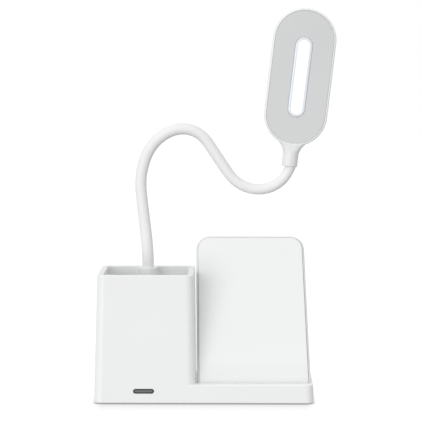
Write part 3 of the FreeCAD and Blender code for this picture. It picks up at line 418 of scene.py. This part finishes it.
def buildHead():
    v = headValues
    radius, run, half = v["width"] / 2, (v["length"] - v["width"]) / 2, v["thickness"] / 2

    # cover: made as the stand's shell is, with one more small round at the mouth of its recess
    frontIn, frontDeep = quarterRound(v["frontRound"], v["frontSteps"])
    frontDeep = frontDeep * v["rimSlope"]
    backIn, backDeep = quarterRound(v["backRound"], v["backSteps"])
    rimIn, rimDeep = quarterRound(v["rimRound"], v["rimSteps"])
    inset = np.concatenate([[v["rim"] + v["floorRun"], v["rim"]], v["rim"] - rimIn[::-1], frontIn,
                            backIn[::-1], [v["backRound"] + v["flatStart"], v["backRound"] + v["flatRun"]]])
    depth = np.concatenate([[v["recess"] - half] * 2, rimDeep[::-1] - half, frontDeep - half,
                            half - backDeep[::-1], [half] * 2])
    cover = ringMesh("headCover", place(racetrackRings(radius - inset, run, depth, headMiddle,
                                                       v["halfSteps"]), headFrame))
    finishPiece(cover, "whitePlastic", "head", ["head_cover"])

    # panel: a hoop from the lens's hole over its front to its rim and back again
    lensRadius, lensRun = v["lensWidth"] / 2, (v["lensLength"] - v["lensWidth"]) / 2
    roundIn, roundDeep = quarterRound(v["panelRound"], v["panelSteps"])
    front = v["panelRecess"] - half
    outer, hole = radius - v["rim"] - v["gap"], lensRadius + v["gap"]
    ringRadius = np.concatenate([hole + roundIn[::-1], [hole + v["panelFlat"], outer - v["panelFlat"]],
                                 outer - roundIn, [outer, hole]])
    ringDepth = np.concatenate([front + roundDeep[::-1], [front] * 2, front + roundDeep,
                                [v["recess"] - half - v["seatGap"]] * 2])
    share = (ringRadius - hole) / (outer - hole)
    ringRun = lensRun + (run - lensRun) * share
    rings = [racetrackRings([r], h, [d], headMiddle, v["halfSteps"])
             for r, h, d in zip(ringRadius, ringRun, ringDepth)]
    panel = ringMesh("facePanel", place(np.vstack(rings), headFrame), hoop=True)
    finishPiece(panel, "panelGrey", "head", ["face_panel"])

    # lens: a low pillow that stands proud of the panel; its profile tells how far in from the outline and
    # how deep under the lens's front each ring lies, and a last ring is sunk behind the panel's front
    inset, depth = np.array([*v["lensProfile"], (0.0, v["lensProud"] + v["lensSunk"])]).T
    rings = racetrackRings(lensRadius - inset, lensRun, front - v["lensProud"] + depth, headMiddle,
                           v["lensSteps"])
    lens = ringMesh("lightLens", place(rings, headFrame), across=inset)
    finishPiece(lens, "opalLens", "head", ["light_lens"])


neckValues = {"radius": 6.2, "round": 0.6, "roundSteps": 4, "bore": 4.6, "boreDepth": 2.5,
              "straightLow": 1.5, "straightSteps": 6, "flareStart": 11.0, "flareEnd": 22.5,
              "flareSteps": 22, "flareGrow": 5.0, "flareRun": 10.0, "flat": 0.22, "flatPace": 1.3,
              "squareness": 2.2, "ease": 1.2, "endRise": 3.0, "endHalves": (5.0, 3.0), "aroundSteps": 96}


# neck: superellipse rings carried up the head's axis, from the bore's floor over the rounded mouth. Height
# z gives the half width radius + grow * ((z - start) / run) ^ 2, and the power grows from a circle's 2 to a
# squarer form. Towards the disc each ring bends to its round outline: with R the disc's radius, w the
# ring's half width and k from 0 to 1, it is lowered by k * (sqrt(R^2 - x^2) - sqrt(R^2 - w^2)). A last
# small ring closes the neck inside the disc
def buildNeck():
    v = neckValues
    mouth, disc = headValues["mouth"], headValues["width"] / 2
    roundIn, roundDeep = quarterRound(v["round"], v["roundSteps"])
    z = np.concatenate([mouth + np.concatenate([[v["boreDepth"], 0], roundDeep]),
                        np.linspace(mouth + v["straightLow"], v["flareStart"], v["straightSteps"]),
                        np.linspace(v["flareStart"], v["flareEnd"], v["flareSteps"])[1:]])
    shrink = np.zeros(z.size)
    shrink[:2], shrink[2:2 + roundIn.size] = v["radius"] - v["bore"], roundIn
    rise = np.clip(z - v["flareStart"], 0, None) / v["flareRun"]
    share = np.clip(rise, 0, 1)
    bend = share ** v["ease"]
    halfWidth = v["radius"] + v["flareGrow"] * rise ** 2 - shrink
    halfDepth = v["radius"] - v["flat"] * np.minimum(share * v["flatPace"], 1) - shrink
    power = 2 + v["squareness"] * np.append(bend, 1)
    z, halfWidth, halfDepth, bend = (np.append(row, end)[:, None] for row, end in zip(
        (z, halfWidth, halfDepth, bend), (v["flareEnd"] + v["endRise"], *v["endHalves"], 0.0)))
    turn = np.linspace(0, math.tau, v["aroundSteps"], endpoint=False)[None]
    bulge = (2 / power)[:, None]
    x = halfWidth * np.sign(np.cos(turn)) * np.abs(np.cos(turn)) ** bulge
    y = halfDepth * np.sign(np.sin(turn)) * np.abs(np.sin(turn)) ** bulge
    z = z - bend * (np.sqrt(disc ** 2 - x ** 2) - np.sqrt(disc ** 2 - halfWidth ** 2))
    neck = ringMesh("headNeck", place(np.stack([x, y, z], -1), headFrame))
    # the neck's darker white is painted shade, for the shade under the head
    finishPiece(neck, "neckShadedPlastic", "head", ["head_cover"])


buildHead()
buildNeck()
print("stage: head")


# window
windowValues = {"middle": (-56.3, 0.0, 10.1), "length": 16.2, "height": 3.6, "front": -39.85,
                "back": -36.2, "faceInsets": (1.7, 1.3, 0.9, 0.6), "round": 0.35, "roundSteps": 4,
                "steps": 16}


# a pane in its slot: rings of a lying racetrack from the middle of its front over a rounded edge
def buildWindow():
    v = windowValues
    radius, run = v["height"] / 2, (v["length"] - v["height"]) / 2
    roundIn, roundDeep = quarterRound(v["round"], v["roundSteps"])
    inset = np.concatenate([v["faceInsets"], roundIn, [0.0]])
    depth = np.concatenate([[v["front"]] * len(v["faceInsets"]), v["front"] + roundDeep, [v["back"]]])
    rings = racetrackRings(radius - inset, run, depth, 0.0, v["steps"])[..., [2, 1, 0]] + v["middle"]
    pane = ringMesh("statusPane", place(rings, plainFrame), across=inset)
    finishPiece(pane, "smokedWindow", "base", ["status_window"])


buildWindow()
print("stage: window")


# gooseneck
hoseValues = {"radii": (4.68, 4.1), "start": (-55.0, 24.7, 100.5), "heading": 90.0, "linkLength": 30.2,
              "bends": (7.3, -1.3, -28.8, -48.9, -74.6, 0.0, 59.5, 66.8), "sunk": 3.0, "reach": 3.4,
              "soften": 11.0, "fineStep": 0.125, "step": 1.0, "aroundSteps": 56, "blendReach": 13.0,
              "ballJoint": 3, "ballTurn": 1.5, "ballSteps": 8}


# centre line: the heading grows evenly along each link by the link's bend, is softened by a running mean,
# and the point is the sum of the headings' steps; rows are the station, x, z and heading
def hosePath():
    v = hoseValues
    step = v["fineStep"]
    marks = v["linkLength"] * np.arange(len(v["bends"]) + 1)
    headings = v["heading"] + np.concatenate([[0], np.cumsum(v["bends"])])
    s = np.arange(-v["sunk"] - v["soften"], marks[-1] + v["reach"] + v["soften"], step)
    window = int(v["soften"] / step) | 1
    heading = np.pad(np.interp(s, marks, headings), window // 2, mode="edge")
    heading = np.radians(np.convolve(heading, np.ones(window) / window, mode="valid"))
    x = np.concatenate([[0], np.cumsum((np.cos(heading[1:]) + np.cos(heading[:-1])) / 2)]) * step
    z = np.concatenate([[0], np.cumsum((np.sin(heading[1:]) + np.sin(heading[:-1])) / 2)]) * step
    return s, x + v["start"][0] - np.interp(0, s, x), z + v["start"][2] - np.interp(0, s, z), heading


# rings of one stretch, from one station to another, and their normals, which point straight out of the
# centre line so that the cuts don't show; a ball end adds nearly half a ball beyond the last station: each
# ring lies at the centre plus radius * (outward * cos(bow) + onward * sin(bow)), with bow up to ballTurn
def hoseRings(path, first, last, ball=False):
    v = hoseValues
    fine, *rows = path
    s = np.linspace(first, last, int(abs(last - first) / v["step"]) + 1)
    bow = np.zeros(s.size)
    if ball:
        bow = np.append(bow, np.linspace(0, v["ballTurn"], v["ballSteps"] + 1)[1:])
        s = np.pad(s, (0, v["ballSteps"]), mode="edge")
    x, z, heading = (np.interp(s, fine, row)[:, None] for row in rows)
    turn = np.linspace(0, math.tau, v["aroundSteps"], endpoint=False)[None]
    outward = np.stack([-np.sin(heading) * np.cos(turn), np.sin(turn) + 0 * heading,
                        np.cos(heading) * np.cos(turn)], -1)
    onward = np.stack([np.cos(heading), 0 * heading, np.sin(heading)], -1) * math.copysign(1, last - first)
    bow = bow[:, None, None]
    normals = outward * np.cos(bow) + onward * np.sin(bow)
    centres = np.stack([x, v["start"][1] + 0 * x, z], -1)
    radius = np.interp(s, (0, v["linkLength"] * len(v["bends"])), v["radii"])[:, None, None]
    return centres + radius * normals, normals


# hose: cut at each link's middle, so that each stretch holds the joint in its middle; the stretch at the ball
# joint is two stiff halves instead, each on its own body, which meet in a ball
def buildHose():
    v = hoseValues
    path = hosePath()
    middles = [v["linkLength"] * (k + 0.5) for k in range(1, len(v["bends"]))]
    cuts = [-v["sunk"]] + middles + [v["linkLength"] * len(v["bends"]) + v["reach"]]
    bodies = ["base"] + [f"link_{k}" for k in range(2, len(v["bends"]) + 1)] + ["head"]
    for k, (low, high) in enumerate(zip(cuts[:-1], cuts[1:])):
        joint = v["linkLength"] * (k + 1)
        name, stands = f"hose{k + 1}", [f"conduit_{k + 1}", f"sleeve_{k + 1}"]
        if k + 1 == v["ballJoint"]:
            for end, body, outer in (("Low", bodies[k], low), ("High", bodies[k + 1], high)):
                points, normals = hoseRings(path, outer, joint, ball=True)
                half = ringMesh(name + end, place(points, plainFrame), normals=normals)
                finishPiece(half, "sleeveSkin", body, stands)
            continue
        points, normals = hoseRings(path, low, high)
        stretch = ringMesh(name, place(points, plainFrame), normals=normals)
        finishPiece(stretch, "sleeveSkin", stands=stands)
        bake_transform(stretch)


buildHose()
print("stage: gooseneck")


# light, floor and camera
# the room's light is level + slope * height of the direction it comes from, and plain white to the rays
# that see it; the lamp is a broad sun: the way its light travels, strength and angle. The floor reaches the
# part only as a reflection, and gives it no light or shade; its own shade along the base is painted
stageValues = {"level": 0.55, "slope": 0.45, "lampWay": (0.19, 0.38, 0.0), "lampStrength": 1.34,
               "lampAngle": 42.0, "floorSize": 3.0, "floorColour": (0.12, 0.12, 0.12, 1),
               "floorRoughness": 0.9, "floorGlow": 0.985, "nearReach": 0.003, "nearShade": 0.62,
               "nearSamples": 16, "frontShade": 0.5, "frontFall": 9.0, "sideSpan": (-0.008, 0.005),
               "cameraPlace": (0.0184, -1.886, 0.2893), "lens": 204.74, "sensor": 36.0,
               "clip": (0.05, 20.0), "pitch": 4.301, "yaw": 0.692}


# 1 for the rays that see a surface itself, from the camera, a reflection or through glass, and else 0
def seenByEye(tree):
    path = addNode(tree, "ShaderNodeLightPath")
    seen = path.outputs["Is Camera Ray"]
    for kind in ("Is Glossy Ray", "Is Transmission Ray"):
        seen = addMath(tree, "MAXIMUM", seen, path.outputs[kind])
    return seen


# painted shade on the floor along the base's front and back edges: 1 less shade * exp(-fall * sqrt(distance
# to the edge)), with the shade faded out beyond the base's two sides
def softShade(tree):
    v = stageValues
    low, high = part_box("base_housing")
    middle, half = [(a + b) / 2 for a, b in zip(low, high)], [(b - a) / 2 for a, b in zip(low, high)]
    spot = addPlace(tree)
    across = addMath(tree, "ABSOLUTE", addMath(tree, "SUBTRACT", spot["Y"], middle[1]))
    away = addMath(tree, "ABSOLUTE", addMath(tree, "SUBTRACT", across, half[1]))
    steep = addMath(tree, "MULTIPLY", addMath(tree, "SQRT", away), -v["frontFall"])
    off = addMath(tree, "ABSOLUTE", addMath(tree, "SUBTRACT", spot["X"], middle[0]))
    side = addRamp(tree, off, [half[0] + span for span in v["sideSpan"]], (v["frontShade"], 0.0),
                   interpolation_type="SMOOTHSTEP")
    shade = addMath(tree, "MULTIPLY", addMath(tree, "EXPONENT", steep), side)
    return addMath(tree, "SUBTRACT", 1.0, shade)


def buildLight():
    v = stageValues
    scene = bpy.context.scene
    scene.view_settings.view_transform = "Standard"
    world = bpy.data.worlds.new("studio")
    scene.world = world
    world.use_nodes = True
    sky = world.node_tree
    background = sky.nodes["Background"]
    background.inputs["Color"].default_value = (1, 1, 1, 1)
    world.cycles.sampling_method = "NONE"  # so soft a light needs no picking of directions
    light = addMath(sky, "MULTIPLY_ADD", addPlace(sky, "Generated")["Z"], v["slope"], v["level"])
    strength = addRamp(sky, seenByEye(sky), ends=(light, 1.0))
    sky.links.new(strength, background.inputs["Strength"])
    sun = bpy.data.lights.new("studioLamp", "SUN")
    sun.energy, sun.angle = v["lampStrength"], math.radians(v["lampAngle"])
    lamp = bpy.data.objects.new("studioLamp", sun)
    lamp.rotation_euler = Vector(v["lampWay"]).to_track_quat("-Z", "Y").to_euler()
    scene.collection.objects.link(lamp)


# floor: it glows to the rays that see it, with painted shade where the part is within nearReach and along the base
def buildFloor():
    v = stageValues
    half = v["floorSize"]
    mesh = bpy.data.meshes.new("floor")
    corners = [(-half, -half, 0), (half, -half, 0), (half, half, 0), (-half, half, 0)]
    mesh.from_pydata(corners, [], [(0, 1, 2, 3)])
    floor = bpy.data.objects.new("floor", mesh)
    floor.visible_diffuse = floor.visible_shadow = False
    bpy.context.scene.collection.objects.link(floor)
    material = bpy.data.materials.new("floorWhite")
    material.use_nodes = True
    tree = material.node_tree
    surface = tree.nodes["Principled BSDF"]
    surface.inputs["Base Color"].default_value = v["floorColour"]
    surface.inputs["Roughness"].default_value = v["floorRoughness"]
    surface.inputs["Specular IOR Level"].default_value = 0.0
    surface.inputs["Emission Color"].default_value = (1, 1, 1, 1)
    near = addNode(tree, "ShaderNodeAmbientOcclusion", samples=v["nearSamples"], Distance=v["nearReach"])
    glow = addRamp(tree, near.outputs["AO"], ends=(1 - v["nearShade"], 1.0))
    glow = addMath(tree, "MULTIPLY", glow, softShade(tree))
    glow = addMath(tree, "MULTIPLY", glow, addMath(tree, "MULTIPLY", seenByEye(tree), v["floorGlow"]))
    tree.links.new(glow, surface.inputs["Emission Strength"])
    mesh.materials.append(material)


def buildCamera():
    v = stageValues
    camera = bpy.data.cameras.new("camera")
    camera.lens, camera.sensor_width = v["lens"], v["sensor"]
    camera.clip_start, camera.clip_end = v["clip"]
    eye = bpy.data.objects.new("camera", camera)
    eye.location = v["cameraPlace"]
    eye.rotation_euler = (math.radians(90 - v["pitch"]), 0, math.radians(v["yaw"]))
    bpy.context.scene.collection.objects.link(eye)
    bpy.context.scene.camera = eye


buildLight()
buildFloor()
buildCamera()
print("stage: light, floor and camera")
